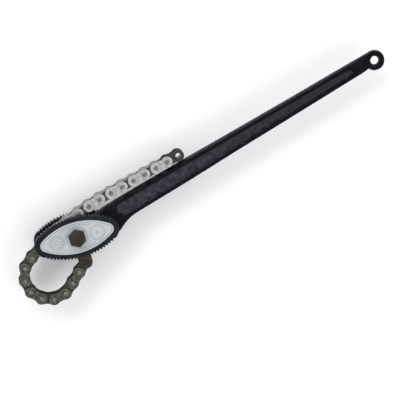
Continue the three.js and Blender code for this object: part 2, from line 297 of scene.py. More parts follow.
def edge_rows(outer, holes, rows):
    """Rows of points along the outline and along its holes, at each distance from them."""
    near = []
    for row in rows:
        near.append(inset(outer, row))
        near += [inset(hole, row, outward=True) for hole in holes]
    return near


def grid(outer, spacing):
    """A triangular grid of points over the outline's box."""
    low, high = outer.min(0), outer.max(0)
    across = np.arange(low[0], high[0], spacing)
    rise = np.arange(low[1], high[1], spacing * GRID_RISE)
    return np.array([(x + (j % 2) * spacing / 2, y) for j, y in enumerate(rise) for x in across])


def thin(points, depth):
    """Drops points that crowd others, keeping rows apart by at least a share of their depth."""
    kept = []
    cells = {}
    for p, d in zip(points, depth):
        limit = min(THIN_CELL, max(THIN_LEAST, d * THIN_SHARE))
        column, row = int(p[0] // THIN_CELL), int(p[1] // THIN_CELL)
        around = itertools.product((column - 1, column, column + 1), (row - 1, row, row + 1))
        near = (q for cell in around for q in cells.get(cell, ()))
        if any((q[0] - p[0]) ** 2 + (q[1] - p[1]) ** 2 < limit * limit for q in near):
            continue
        kept.append(p)
        cells.setdefault((column, row), []).append(p)
    return np.array(kept)


def plan(outer, holes, rows, spacing, extra=()):
    """Triangles over an outline, through rows of points along its edges and a filling of points."""
    loops = [outer, *holes]
    edges, start = [], 0
    for loop in loops:
        edges += [(start + i, start + (i + 1) % len(loop)) for i in range(len(loop))]
        start += len(loop)
    near = np.concatenate([*edge_rows(outer, holes, rows), *extra])
    near = near[on_sheet(near, outer, holes)]
    taken = np.concatenate([*loops, thin(near, distance_to(near, loops))])
    tree = KDTree(len(taken))
    for i, (x, y) in enumerate(taken):
        tree.insert((x, y, 0), i)
    tree.balance()
    fill = grid(outer, spacing)
    fill = fill[on_sheet(fill, outer, holes)]
    fill = [p for p in fill if tree.find((*p, 0))[2] > spacing * CLEAR_SHARE]
    every = np.concatenate([taken, np.array(fill).reshape(-1, 2)])
    out = delaunay_2d_cdt([Vector(p) for p in every.tolist()], edges, [], 0, MERGE_WITHIN, False)
    verts, faces = np.array([v[:] for v in out[0]]), np.array([f for f in out[2] if len(f) == 3])
    return verts, faces[on_sheet(verts[faces].mean(1), outer, holes)], loops


def relief(outer, holes, rows, spacing, top, bottom, extra=()):
    """The solid between two heights, top and bottom, each a function of points and their edge distance."""
    verts, faces, loops = plan(outer, holes, rows, spacing, extra)
    d = distance_to(verts, loops)
    high, low = top(verts, d), bottom(verts, d)
    n = len(verts)
    weld = np.abs(high - low) < WELD_WITHIN
    below = np.where(weld, np.arange(n), np.arange(n) + n)
    points = np.concatenate([np.column_stack([verts, high]), np.column_stack([verts, low])])
    turn = cross_sign(verts, faces)
    faces = np.where(turn[:, None] > 0, faces, faces[:, ::-1])
    polygons = [tuple(f) for f in faces.tolist()]
    polygons += [tuple(below[f[::-1]]) for f in faces]
    sides = dict.fromkeys((a, b) for f in faces.tolist() for a, b in zip(f, f[1:] + f[:1]))
    for a, b in sides:
        if (b, a) not in sides and not (weld[a] and weld[b]):
            polygons.append((b, a, int(below[a]), int(below[b])))
    return points, polygons


def cross_sign(verts, faces):
    """Above zero where a flat triangle runs anticlockwise."""
    a, b, c = verts[faces[:, 0]], verts[faces[:, 1]], verts[faces[:, 2]]
    ab, ac = b - a, c - a
    return ab[:, 0] * ac[:, 1] - ab[:, 1] * ac[:, 0]


def band(first, second, sides):
    """Quads between two rings of points, given by the numbers of their first points."""
    ks = range(sides)
    return [(first + k, first + (k + 1) % sides, second + (k + 1) % sides, second + k) for k in ks]


def caps(first_tip, last_tip, last, sides):
    """Fans from two tips, to the ring that starts at number 0 and to the one that starts at last."""
    faces = []
    for k in range(sides):
        m = (k + 1) % sides
        faces += [(first_tip, m, k), (last_tip, last + k, last + m)]
    return faces


def lathe(profile, x, sides):
    """Turns [radius, z] points about a vertical axis at x. Ends off the axis close on each other."""
    solid = abs(profile[0][0]) < SHORT and abs(profile[-1][0]) < SHORT
    rows = profile[1:-1] if solid else profile
    a = 2 * math.pi * np.arange(sides) / sides
    points = [[x + r * c, r * s, z] for r, z in rows for c, s in zip(np.cos(a), np.sin(a))]
    last = len(rows) - 1
    faces = []
    for i in range(last if solid else len(rows)):
        faces += band(i * sides, (i + 1) % len(rows) * sides, sides)
    if solid:
        faces += caps(len(points), len(points) + 1, last * sides, sides)
        points += [[x, 0, profile[0][1]], [x, 0, profile[-1][1]]]
    return np.array(points), faces


def skin(rows, closed_ends=True):
    """Quads between rings of points, and a fan to each end's middle."""
    sides, last = len(rows[0]), len(rows) - 1
    points = np.concatenate(rows)
    faces = []
    for i in range(last):
        faces += band(i * sides, (i + 1) * sides, sides)
    if closed_ends:
        faces += caps(len(points), len(points) + 1, last * sides, sides)
        points = np.concatenate([points, [rows[0].mean(0), rows[-1].mean(0)]])
    return points, faces


def rounded_sheet(outline, holes, low, thickness, edge, rows, spacing):
    """A flat plate with rounded rims."""
    def top(_points, distance):
        return low + thickness - round_drop(distance, edge)

    def bottom(_points, distance):
        return low + round_drop(distance, edge)

    return relief(outline, holes, rows, spacing, top, bottom)


def mesh_of(name, shells, materials, sharp=38):
    """A mesh from shells: points in millimetres, faces, material number or one per face. sharp: degrees."""
    points, faces, numbers, start = [], [], [], 0
    for verts, polygons, number in shells:
        points.append(np.asarray(verts) * MM)
        faces += [tuple(int(i) + start for i in f) for f in polygons]
        numbers += [number] * len(polygons) if isinstance(number, int) else list(number)
        start += len(verts)
    mesh = bpy.data.meshes.new(name)
    mesh.from_pydata(np.concatenate(points).tolist(), [], faces)
    for material in materials:
        mesh.materials.append(material)
    mesh.polygons.foreach_set("material_index", numbers)
    mesh.polygons.foreach_set("use_smooth", [True] * len(faces))
    mesh.validate()
    mesh.update()
    mesh.set_sharp_from_angle(angle=math.radians(sharp))
    return mesh


def piece(name, mesh, body, node, slot, matrix=None):
    """Shows a mesh in place of a CAD node, riding on its body."""
    thing = bpy.data.objects.new(name, mesh)
    bpy.context.scene.collection.objects.link(thing)
    if matrix is not None:
        thing.matrix_world = matrix
    weigh = thing.modifiers.new("even normals", "WEIGHTED_NORMAL")
    weigh.keep_sharp = True
    weigh.weight = 50
    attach(thing, body)
    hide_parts(node)


# ---- materials ----

NOISE_LOW, NOISE_HIGH = 0.3, 0.7  # between which a noise texture mostly lies
EDGE_FROM = 0.53  # pointiness at which a rubbed edge begins
ENAMEL_SCALE, ENAMEL_PEEL = 90, 650  # waves of the forging's scale and of the orange peel, per metre


class Nodes:
    """A material's node tree with short calls for the nodes used here."""

    def __init__(self, name, colour, roughness, metallic):
        self.material = bpy.data.materials.new(name)
        self.material.use_nodes = True
        self.tree = self.material.node_tree
        self.shader = self.tree.nodes["Principled BSDF"]
        self.set("Base Color", (*colour, 1))
        self.set("Roughness", roughness)
        self.set("Metallic", metallic)
        self.place = self.tree.nodes.new("ShaderNodeTexCoord").outputs["Object"]

    def set(self, socket, value):
        self.shader.inputs[socket].default_value = value

    def noise(self, scale, detail=3.0, roughness=0.55, stretch=None):
        node = self.tree.nodes.new("ShaderNodeTexNoise")
        node.inputs["Scale"].default_value = scale
        node.inputs["Detail"].default_value = detail
        node.inputs["Roughness"].default_value = roughness
        place = self.place
        if stretch:
            mapping = self.tree.nodes.new("ShaderNodeMapping")
            mapping.inputs["Scale"].default_value = stretch
            self.tree.links.new(place, mapping.inputs["Vector"])
            place = mapping.outputs["Vector"]
        self.tree.links.new(place, node.inputs["Vector"])
        return node.outputs["Fac"]

    def coordinate(self, axis):
        """The place along one of the piece's own axes, in metres."""
        node = self.tree.nodes.new("ShaderNodeSeparateXYZ")
        self.tree.links.new(self.place, node.inputs["Vector"])
        return node.outputs[axis]

    def pointed(self):
        """How far a vertex stands out: high along outer edges."""
        return self.tree.nodes.new("ShaderNodeNewGeometry").outputs["Pointiness"]

    def remap(self, source, low, high, to_low=0, to_high=1):
        node = self.tree.nodes.new("ShaderNodeMapRange")
        node.inputs["From Min"].default_value = low
        node.inputs["From Max"].default_value = high
        node.inputs["To Min"].default_value = to_low
        node.inputs["To Max"].default_value = to_high
        self.tree.links.new(source, node.inputs["Value"])
        return node.outputs["Result"]

    def mix(self, factor, first, second):
        """A colour between two; each is a colour or a socket."""
        node = self.tree.nodes.new("ShaderNodeMix")
        node.data_type = "RGBA"
        self.tree.links.new(factor, node.inputs[0])
        for socket, value in ((node.inputs[6], first), (node.inputs[7], second)):
            if isinstance(value, tuple):
                socket.default_value = (*value, 1)
            else:
                self.tree.links.new(value, socket)
        return node.outputs[2]

    def link(self, source, socket):
        self.tree.links.new(source, self.shader.inputs[socket])

    def bump(self, *layers):
        """Each layer is (height socket, strength, distance in metres)."""
        normal = None
        for height, strength, distance in layers:
            node = self.tree.nodes.new("ShaderNodeBump")
            node.inputs["Strength"].default_value = strength
            node.inputs["Distance"].default_value = distance
            self.tree.links.new(height, node.inputs["Height"])
            if normal is not None:
                self.tree.links.new(normal, node.inputs["Normal"])
            normal = node.outputs["Normal"]
        self.link(normal, "Normal")

    def forged(self, relief):
        """Forging scale under paint with an orange peel."""
        scale, peel = self.noise(ENAMEL_SCALE, 4, 0.6), self.noise(ENAMEL_PEEL, 2, 0.5)
        self.bump((scale, relief, 0.0008), (peel, 0.3, 0.00015))


def shade(colour, share):
    return tuple(c * share for c in colour)


def black_enamel(name, deep, light, roughness, worn, shine, relief=0.35, mottle=55):
    """Dipped black enamel over a forging: soft scale marks, orange peel, thin and dull on the edges."""
    m = Nodes(name, deep, roughness, 0.0)
    patches = m.remap(m.noise(mottle, 4), 0.35, 0.68)
    paint = m.mix(patches, deep, light)
    edge = m.remap(m.pointed(), EDGE_FROM, 0.62)
    m.link(m.mix(edge, paint, worn), "Base Color")
    m.link(m.remap(m.noise(140, 3), NOISE_LOW, NOISE_HIGH, roughness - 0.07, roughness + 0.1), "Roughness")
    m.set("Specular IOR Level", shine)
    m.set("Coat Weight", shine / 2)
    m.set("Coat Roughness", 0.16)
    m.forged(relief)
    return m.material


def pocket_enamel_painted_sheen(name, deep, light, sheen_fades_from, sheen_fades_to):
    """Rough enamel on the web: random mottling under a painted bluish reflection, lightest near the head
    and fading blacker from one x to another.
    """
    m = Nodes(name, deep, 0.32, 0.0)
    patches = m.remap(m.noise(130, 4), 0.35, 0.68)
    along = m.remap(m.coordinate("X"), sheen_fades_from, sheen_fades_to)
    m.link(m.mix(patches, deep, m.mix(along, light, shade(light, 0.35))), "Base Color")
    m.link(m.remap(m.noise(140, 3), NOISE_LOW, NOISE_HIGH, 0.25, 0.42), "Roughness")
    m.set("Specular IOR Level", 0.3)
    m.forged(1.0)
    return m.material


def steel(name, colour, stain, roughness, metallic=0.6, grain=420):
    """Rolled and oiled steel: stained in random patches, brighter on rubbed edges, with a fine grain."""
    m = Nodes(name, colour, roughness, metallic)
    patches = m.remap(m.noise(170, 5, 0.6), 0.38, 0.66)
    base = m.mix(patches, stain, colour)
    bright = tuple(min(1.0, c * 1.35 + 0.02) for c in colour)
    edge = m.remap(m.pointed(), EDGE_FROM, 0.66, 0, 0.85)
    m.link(m.mix(edge, base, bright), "Base Color")
    m.link(m.remap(m.noise(260, 4), NOISE_LOW, NOISE_HIGH, roughness - 0.08, roughness + 0.14), "Roughness")
    m.bump((m.noise(grain, 4, 0.6), 0.3, 0.00012), (m.noise(1600, 2), 0.2, 0.00004))
    return m.material


def brushed_plate(name, colour, roughness):
    """Satin aluminium with fine lengthwise brushing and faint clouding."""
    m = Nodes(name, colour, roughness, 0.3)
    clouds = m.remap(m.noise(45, 4), NOISE_LOW, NOISE_HIGH)
    m.link(m.mix(clouds, shade(colour, 0.88), colour), "Base Color")
    brush = m.noise(900, 2, 0.5, (0.06, 1, 1))
    m.link(m.remap(brush, NOISE_LOW, NOISE_HIGH, roughness - 0.06, roughness + 0.1), "Roughness")
    m.bump((brush, 0.25, 0.00005))
    return m.material


def plate_ink(name, colour):
    """Grey enamel printed on the plate."""
    m = Nodes(name, colour, 0.6, 0.1)
    grit = m.remap(m.noise(700, 3), NOISE_LOW, NOISE_HIGH)
    m.link(m.mix(grit, shade(colour, 0.75), colour), "Base Color")
    m.bump((m.noise(1200, 2), 0.3, 0.00005))
    return m.material


HANDLE_PAINT = black_enamel(
    "handle_enamel", (0.002, 0.0021, 0.0028), (0.006, 0.0064, 0.009), 0.34, (0.012, 0.013, 0.017),
    shine=0.05)
# The web's lighter bluish colour is a painted reflection; on the lower wall it is a painted highlight.
POCKET_PAINTED_SHEEN = pocket_enamel_painted_sheen(
    "pocket_enamel_painted_sheen", (0.004, 0.0045, 0.0068), (0.048, 0.052, 0.075), sheen_fades_from=0.16, sheen_fades_to=0.42)
JAW_PAINT = black_enamel(
    "jaw_enamel", (0.002, 0.003, 0.0048), (0.009, 0.011, 0.016), 0.38, (0.065, 0.07, 0.08), shine=0.14,
    relief=0.6, mottle=130)
PLATE_METAL = brushed_plate("nameplate_aluminium", (0.50, 0.52, 0.54), 0.42)
PLATE_INK = plate_ink("nameplate_ink", (0.22, 0.235, 0.26))
BOLT_STEEL = steel("bolt_black_oxide", (0.034, 0.027, 0.023), (0.016, 0.012, 0.010), 0.45, 0.5)
WASHER_STEEL = steel("washer_zinc", (0.62, 0.62, 0.62), (0.42, 0.42, 0.41), 0.36)
SHACKLE_STEEL = steel("shackle_forging", (0.050, 0.037, 0.027), (0.020, 0.015, 0.011), 0.5, 0.5, 260)
LOOP_STEEL = steel("loop_chain_steel", (0.125, 0.121, 0.100), (0.034, 0.033, 0.026), 0.45, 0.6)
# A darker copy of the loop steel: painted shade on the inner links between the outer plates.
LOOP_INNER_SHADE = steel("loop_inner_steel", (0.060, 0.057, 0.046), (0.030, 0.028, 0.022), 0.48, 0.6)
LOOP_PIN = steel("loop_pin_steel", (0.27, 0.262, 0.225), (0.10, 0.096, 0.08), 0.38, 0.7)
TAIL_STEEL = steel("tail_chain_steel", (0.57, 0.57, 0.555), (0.30, 0.30, 0.29), 0.38, 0.6)
# A darker copy of the tail steel: painted shade on the inner links between the outer plates.
TAIL_INNER_SHADE = steel("tail_inner_steel", (0.10, 0.10, 0.092), (0.04, 0.04, 0.037), 0.42, 0.6)
TAIL_PIN = steel("tail_pin_steel", (0.24, 0.24, 0.23), (0.10, 0.10, 0.095), 0.36, 0.7)
END_STEEL = steel("end_link_steel", (0.060, 0.060, 0.065), (0.030, 0.030, 0.033), 0.4, 0.6)


# ---- handle ----

BEAM_BLEND = 70.0
OUTLINE_STEP = 2.0
EYE_STARTS, EYE_ENDS = math.radians(203), math.radians(456)
EYE_STEPS = 40
ROOT_CORNERS = [(6, -20, 18), (36, -26, 30), (58, -29.2, 8)]  # x, y, fillet radius
NOTCH_CORNERS = [(500.5, -13.5, 3)]
BACK_CORNERS = [(58, 14.8, 60), (34, 12.8, 30), (14, 12.5, 20)]
NOSE_CORNERS = [(-14, 7, 12), (-23, -1.5, 5), (-22, -9, 6), (-14, -16, 8)]


def handle_outline():
    """The forging's plan: flared root, lower edge, notch, hanging eye, upper edge, back and nose."""
    eye = arc(EYE_X, EYE_Y, EYE_RADIUS, EYE_STARTS, EYE_ENDS, EYE_STEPS)
    end = [(x, y, 0) for x, y in eye]
    lower = [(x, low, BEAM_BLEND) for x, _, low in BEAM_EDGES]
    upper = [(x, high, BEAM_BLEND) for x, high, _ in reversed(BEAM_EDGES)]
    corners = ROOT_CORNERS + lower + NOTCH_CORNERS + end + upper + BACK_CORNERS + NOSE_CORNERS
    return resampled(filleted(corners), OUTLINE_STEP)


def beam_edges(x):
    """Upper and lower edge of the beam at x, from its shoulder on."""
    along, upper, lower = zip(*BEAM_EDGES)
    return np.interp(x, along, upper), np.interp(x, along, lower)


def pocket_outline():
    """The recess between the flanges: a long taper with round ends."""
    corners = []
    for x, turn in ((POCKET_START_X, 1), (POCKET_END_X, -1)):
        up, down = beam_edges(x)
        up, down = up - FLANGE_HEIGHT, down + FLANGE_HEIGHT
        radius = (up - down) / 2 * POCKET_END_SHARE
        corners += [(x, up, radius), (x, down, radius)][::turn]
    return resampled(filleted(corners), OUTLINE_STEP)


def smooth(x):
    """A soft step from 0 to 1."""
    x = np.clip(x, 0, 1)
    return x * x * (3 - 2 * x)


DRAFT = 1.1  # how far the sides lean in over their height
BORE_DRAFT, BORE_RIM = 0.25, 4.0
FLANGE_ROUND = 2.4
FLANGE_FLAT = 4.0
TANG_STEP = 5.0  # length of the step from the tang up to the beam
EYE_BLEND_X, EYE_BLEND = 486.0, 16.0
POCKET_WALL = 3.2
WALL_SHAPE = 0.9
WALL_ROWS = (0.4, 0.8, 1.2, 1.6, 2.0, 2.4, 2.8, 3.2, 4.0)
WEB_SHEEN_IN, LOWER_WALL_HIGHLIGHT_IN = 2.6, 1.0  # how far the web's painted sheen keeps from the pocket's edge; nearer along the lower wall, where it is a painted highlight
HANDLE_SPACING = 3.0
HANDLE_BORE_SIDES, EYE_HOLE_SIDES = 48, 44


def handle_height(points, distance, pocket):
    """Half thickness of the forging over its plan."""
    x = points[:, 0]
    taper = BEAM_END_HALF_THICKNESS - BEAM_ROOT_HALF_THICKNESS
    beam = BEAM_ROOT_HALF_THICKNESS + (x - BEAM_START_X) / (EYE_X - BEAM_START_X) * taper
    tang = smooth((x - BEAM_START_X) / TANG_STEP)
    beam = TANG_HALF_THICKNESS * (1 - tang) + beam * tang
    at_eye = smooth((x - EYE_BLEND_X) / EYE_BLEND)
    full = beam * (1 - at_eye) + EYE_HALF_THICKNESS * at_eye
    bore = np.hypot(x, points[:, 1]) < SLEEVE_HOLE_RADIUS + BORE_RIM
    draft = np.where(bore, BORE_DRAFT, DRAFT)
    side = np.clip(distance / draft, 0, 1)
    top = full - round_drop(distance - draft, FLANGE_ROUND)
    height = np.where(distance < draft, side * (full - FLANGE_ROUND), top)
    depth = distance_to(points, [pocket]) * inside(points, pocket)
    wall = smooth(depth / POCKET_WALL) ** WALL_SHAPE
    return height - wall * (full - WEB_HALF_THICKNESS)


def under_painted_sheen(points, pocket):
    """Where the pocket's painted sheen lies: on the web, and closer to its edge along the lower flange,
    where it is a painted highlight on the wall.
    """
    depth = distance_to(points, [pocket])
    below = points[:, 1] < np.mean(beam_edges(points[:, 0]), axis=0)
    return inside(points, pocket) & ((depth > WEB_SHEEN_IN) | (below & (depth > LOWER_WALL_HIGHLIGHT_IN)))


def make_handle():
    outline, pocket = handle_outline(), pocket_outline()
    bolt_hole = circle(0, 0, SLEEVE_HOLE_RADIUS, HANDLE_BORE_SIDES)
    eye_hole = circle(EYE_X, EYE_Y, EYE_HOLE_RADIUS, EYE_HOLE_SIDES)
    rows = [BORE_DRAFT, DRAFT] + [DRAFT + d for d in rounding(FLANGE_ROUND)] + [FLANGE_FLAT]
    walls = [pocket] + [inset(pocket, d) for d in WALL_ROWS]

    def up(points, distance):
        return MID_Z + handle_height(points, distance, pocket)

    def down(points, distance):
        return MID_Z - handle_height(points, distance, pocket)

    points, faces = relief(outline, [bolt_hole, eye_hole], rows, HANDLE_SPACING, up, down, walls)
    middles = np.array([points[list(face), :2].mean(0) for face in faces])
    # Web and lower-wall faces take the painted sheen.
    shell = points, faces, under_painted_sheen(middles, pocket).astype(int)
    mesh = mesh_of("handle_forging", [shell], [HANDLE_PAINT, POCKET_PAINTED_SHEEN], sharp=50)
    piece("handle_forging", mesh, "handle", "handle", "handle_paint")


# ---- jaws and nameplates ----

LEAF_END_STEPS, LEAF_EDGE_STEPS = 14, 60
JAW_BORE_SIDES, SEAT_SIDES = 44, 60


def leaf(length, width, end_radius, edge):
    """Two shallow arcs joined by small round ends."""
    tip, rise = length / 2 - end_radius, width / 2 - end_radius
    inner = (tip * tip + rise * rise) / (2 * rise)
    half = math.asin(tip / inner)
    right = arc(tip, 0, end_radius, half - math.pi / 2, math.pi / 2 - half, LEAF_END_STEPS)
    top = edge(inner + end_radius, half) - np.array([0, inner - rise])
    upper = np.concatenate([right, top])
    return np.concatenate([upper, -upper])


def plain_edge(radius, half):
    """A smooth arc over the top, its two ends left out."""
    return arc(0, 0, radius, math.pi / 2 - half, math.pi / 2 + half, LEAF_EDGE_STEPS)[1:-1]


def toothed_edge(radius, _half):
    """Flat-topped teeth: four corners each."""
    points = []
    step = 2 * TOOTHED_HALF_ANGLE / TEETH_PER_EDGE
    for i in range(TEETH_PER_EDGE):
        a = math.pi / 2 - TOOTHED_HALF_ANGLE + step * i
        for share, rise in TOOTH_CORNERS:
            r = radius + rise
            points.append([r * math.cos(a + step * share), r * math.sin(a + step * share)])
    return np.array(points)


JAW_ROUND = 0.9
JAW_FLAT = 1.3
JAW_SPACING = 3.2
JAW_EDGE_STEP = 1.6
RECESS_WALL = 0.35


def make_jaw(name, outer_z, outward):
    """A toothed jaw plate; its nameplate lies in a recess in the outer face."""
    toothed = leaf(JAW_LENGTH, JAW_WIDTH, JAW_END_RADIUS, toothed_edge)
    outline = resampled(turned(toothed, JAW_TURN), JAW_EDGE_STEP)
    bore = circle(0, 0, BOLT_HOLE_RADIUS, JAW_BORE_SIDES)
    seat_size = NAMEPLATE_LENGTH + 2 * GAP, NAMEPLATE_WIDTH + 2 * GAP
    lens = turned(leaf(*seat_size, NAMEPLATE_END_RADIUS, plain_edge), JAW_TURN)
    seat = WASHER_RADIUS - GAP

    def outer(points, distance):
        sunk = np.where(inside(points, lens), distance_to(points, [lens]), 0)
        raised = np.clip(np.hypot(points[:, 0], points[:, 1]) - seat, 0, None)
        cut = RECESS_DEPTH * np.clip(sunk / RECESS_WALL, 0, 1) * np.clip(raised / RECESS_WALL, 0, 1)
        return outer_z - outward * (round_drop(distance, JAW_ROUND) + cut)

    def inner(points, distance):
        return outer_z - outward * (JAW_THICKNESS - round_drop(distance, JAW_ROUND))

    rows = rounding(JAW_ROUND) + [JAW_FLAT]
    extra = [lens, inset(lens, RECESS_WALL)]
    extra += [circle(0, 0, radius, SEAT_SIDES) for radius in (seat, seat + RECESS_WALL)]
    top, bottom = (outer, inner) if outward > 0 else (inner, outer)
    points, faces = relief(outline, [bore], rows, JAW_SPACING, top, bottom, extra)
    mesh = mesh_of(name, [(points, faces, 0)], [JAW_PAINT], sharp=40)
    piece(name + "_plate", mesh, "jaws", name, "jaw_paint")


EMBLEM_AT = 31.0
EMBLEM_RADIUS = 10.6
EDGE_LINE_IN = 2.6  # of the edge line, from the plate's edge
EMBLEM_RINGS = (0.72, 0.3)  # of the emblem's radius
EMBLEM_DOT_RADIUS = 1.0
EMBLEM_SIDES, RING_SIDES, DOT_SIDES = 72, 56, 20
TICK_IN = 5.6
TICK_LENGTH = 2.6
TICK_STEP = math.radians(2.1)
TICKS_EACH_WAY = 9
LINE_WIDTH = 0.75
LINE_SUNK, LINE_PROUD = 0.3, 0.03
PLATE_ROUND, PLATE_FLAT = 0.3, 0.8
PLATE_SPACING = 3.2


def nameplate_lines():
    """Centre lines of the plate's printed pattern: closed loops, and short ticks along the long edges."""
    lens = leaf(NAMEPLATE_LENGTH, NAMEPLATE_WIDTH, NAMEPLATE_END_RADIUS, plain_edge)
    loops = [inset(lens, EDGE_LINE_IN)]
    loops += [circle(side * EMBLEM_AT, 0, EMBLEM_RADIUS, EMBLEM_SIDES) for side in (-1, 1)]
    loops += [circle(-EMBLEM_AT, 0, EMBLEM_RADIUS * share, RING_SIDES) for share in EMBLEM_RINGS]
    loops += [circle(EMBLEM_AT, 0, EMBLEM_DOT_RADIUS, DOT_SIDES)]
    tip, rise = NAMEPLATE_LENGTH / 2, NAMEPLATE_WIDTH / 2
    edge_radius = (tip ** 2 + rise ** 2) / (2 * rise)
    radius = edge_radius - TICK_IN
    ticks = []
    for side in (-1, 1):
        for i in range(-TICKS_EACH_WAY, TICKS_EACH_WAY + 1):
            outwards = np.array([math.sin(i * TICK_STEP), side * math.cos(i * TICK_STEP)])
            middle = outwards * radius - np.array([0, side * (edge_radius - rise)])
            along = outwards * TICK_LENGTH / 2
            ticks.append(np.array([middle - along, middle + along]))
    return loops, ticks


def ribbon(line, closed, low, high):
    """A thin band of paint along a line, from one height to another."""
    if closed:
        along = np.roll(line, -1, 0) - np.roll(line, 1, 0)
    else:
        along = np.repeat([line[-1] - line[0]], len(line), 0)
    normal = np.stack([-along[:, 1], along[:, 0]], 1)
    normal *= LINE_WIDTH / 2 / np.linalg.norm(normal, axis=1)[:, None]
    rails = [(line + normal, low), (line - normal, low), (line - normal, high), (line + normal, high)]
    points = np.concatenate([np.column_stack([rail, np.full(len(rail), z)]) for rail, z in rails])
    n = len(line)
    faces = []
    for i in range(n if closed else n - 1):
        j = (i + 1) % n
        for a, b in ((0, 1), (1, 2), (2, 3), (3, 0)):
            faces.append((a * n + i, a * n + j, b * n + j, b * n + i))
    if not closed:
        faces += [(0, n, 2 * n, 3 * n), (n - 1, 4 * n - 1, 3 * n - 1, 2 * n - 1)]
    return points, faces


def make_nameplate(name, outer_z, outward):
    """A lens of sheet metal with a softened rim, and its printed pattern."""
    outline = leaf(NAMEPLATE_LENGTH, NAMEPLATE_WIDTH, NAMEPLATE_END_RADIUS, plain_edge)
    hole = circle(0, 0, WASHER_RADIUS + GAP, SEAT_SIDES)

    def face(_points, distance):
        return outer_z - outward * round_drop(distance, PLATE_ROUND)

    def back(_points, distance):
        return outer_z - outward * NAMEPLATE_THICKNESS + np.zeros(len(distance))

    top, bottom = (face, back) if outward > 0 else (back, face)
    rows = rounding(PLATE_ROUND, 3) + [PLATE_FLAT]
    shells = [(*relief(outline, [hole], rows, PLATE_SPACING, top, bottom), 0)]
    levels = sorted((outer_z - outward * LINE_SUNK, outer_z + outward * LINE_PROUD))
    loops, ticks = nameplate_lines()
    shells += [(*ribbon(line, True, *levels), 1) for line in loops]
    shells += [(*ribbon(line, False, *levels), 1) for line in ticks]
    shells = [
        (np.column_stack([turned(points[:, :2], JAW_TURN), points[:, 2]]), faces, number)
        for points, faces, number in shells
    ]
    mesh = mesh_of(name, shells, [PLATE_METAL, PLATE_INK], sharp=30)
    piece(name + "_leaf", mesh, "jaws", name, "nameplate")


# ---- main bolt, nut, washers ----

SHANK_SIDES, WASHER_SIDES = 48, 64
HEX_TURN = math.radians(17)
HEX_SIDES = 72
HEX_CORNER_SHARE = 0.985  # of the corner's radius, left after its turning
HEX_CONE_SHARE = 0.955  # of half the flats, where the chamfer's cone begins
HEX_END_SHARE = 0.5
HEX_CHAMFER = math.radians(30)
HEX_EDGE = 0.25  # bevel of an end without a cone
HEX_ANGLES = 2 * math.pi * np.arange(HEX_SIDES) / HEX_SIDES + HEX_TURN


def hex_ring(radius, z):
    x, y = radius * np.cos(HEX_ANGLES), radius * np.sin(HEX_ANGLES)
    return np.column_stack([x, y, z + np.zeros(HEX_SIDES)])


def hex_prism(low, high, chamfer_low):
    """Rings of points up a hexagon. Its upper corners are turned to a cone, the lower ones if asked."""
    corner = ACROSS_FLATS / math.sqrt(3)
    local = (HEX_ANGLES - HEX_TURN) % (math.pi / 3) - math.pi / 6
    flat = np.minimum((ACROSS_FLATS / 2) / np.cos(local), corner * HEX_CORNER_SHARE)
    cone = np.full(HEX_SIDES, ACROSS_FLATS / 2 * HEX_CONE_SHARE)
    drop = (flat - cone) * math.tan(HEX_CHAMFER)
    lower = [hex_ring(cone, low), hex_ring(flat, low + drop)]
    if not chamfer_low:
        lower = [hex_ring(flat - HEX_EDGE, low), hex_ring(flat, low + HEX_EDGE)]
    upper = [hex_ring(flat, high - drop), hex_ring(cone, high)]
    middle = cone * HEX_END_SHARE
    return [hex_ring(middle, low), *lower, *upper, hex_ring(middle, high)]


SHANK_RADIUS = 7.9
SHANK_INTO_HEAD = 0.5
THREAD_PITCH = 2.3
THREAD_DEPTH = 1.0
THREAD_INTO_JAW = 3.0
THREAD_RUN_OUT = 1.2
POINT_IN, POINT_STEP_IN, POINT_RISE = 1.6, 0.9, 0.7  # the chamfer at the bolt's end
THREAD_START = 0.9
NUT_CHAMFER = 0.7


def make_jaw_bolt():
    low, high = span("jaw_bolt")
    head_low = high - HEAD_HEIGHT
    head = skin(hex_prism(head_low, high, False))
    shank = bolt_thread(low, REAR_JAW_LOW + THREAD_INTO_JAW, head_low + SHANK_INTO_HEAD)
    mesh = mesh_of("jaw_bolt", [(*head, 0), (*shank, 0)], [BOLT_STEEL], sharp=32)
    piece("jaw_bolt_hex", mesh, "jaws", "jaw_bolt", "bolt_steel")


def bolt_thread(low, thread_top, high):
    """A shank with a chamfered point and the thread's rings where the nut runs."""
    radius, root = SHANK_RADIUS, SHANK_RADIUS - THREAD_DEPTH
    profile = [[0, low], [radius - POINT_IN, low], [radius - POINT_STEP_IN, low + POINT_RISE]]
    z = low + THREAD_START
    while z + THREAD_PITCH < thread_top:
        profile += [[root, z], [radius, z + THREAD_PITCH / 2]]
        z += THREAD_PITCH
    profile += [[root, z], [radius, z + THREAD_RUN_OUT], [radius, high], [0, high]]
    return lathe(profile, 0, SHANK_SIDES)


def make_jaw_nut():
    low, high = span("jaw_nut")
    bore, mouth = BOLT_HOLE_RADIUS, BOLT_HOLE_RADIUS + NUT_CHAMFER
    rows = [hex_ring(bore, low + NUT_CHAMFER), hex_ring(mouth, low), *hex_prism(low, high, True)[1:-1]]
    rows += [hex_ring(mouth, high), hex_ring(bore, high - NUT_CHAMFER)]
    points, faces = skin(rows, False)
    faces += band((len(rows) - 1) * HEX_SIDES, 0, HEX_SIDES)
    mesh = mesh_of("jaw_nut", [(points, faces, 0)], [BOLT_STEEL], sharp=32)
    piece("jaw_nut_hex", mesh, "jaws", "jaw_nut", "bolt_steel")


WASHER_RIM = 0.35
WASHER_RIM_SHARE = 0.3  # of the rim, at the middle of its round


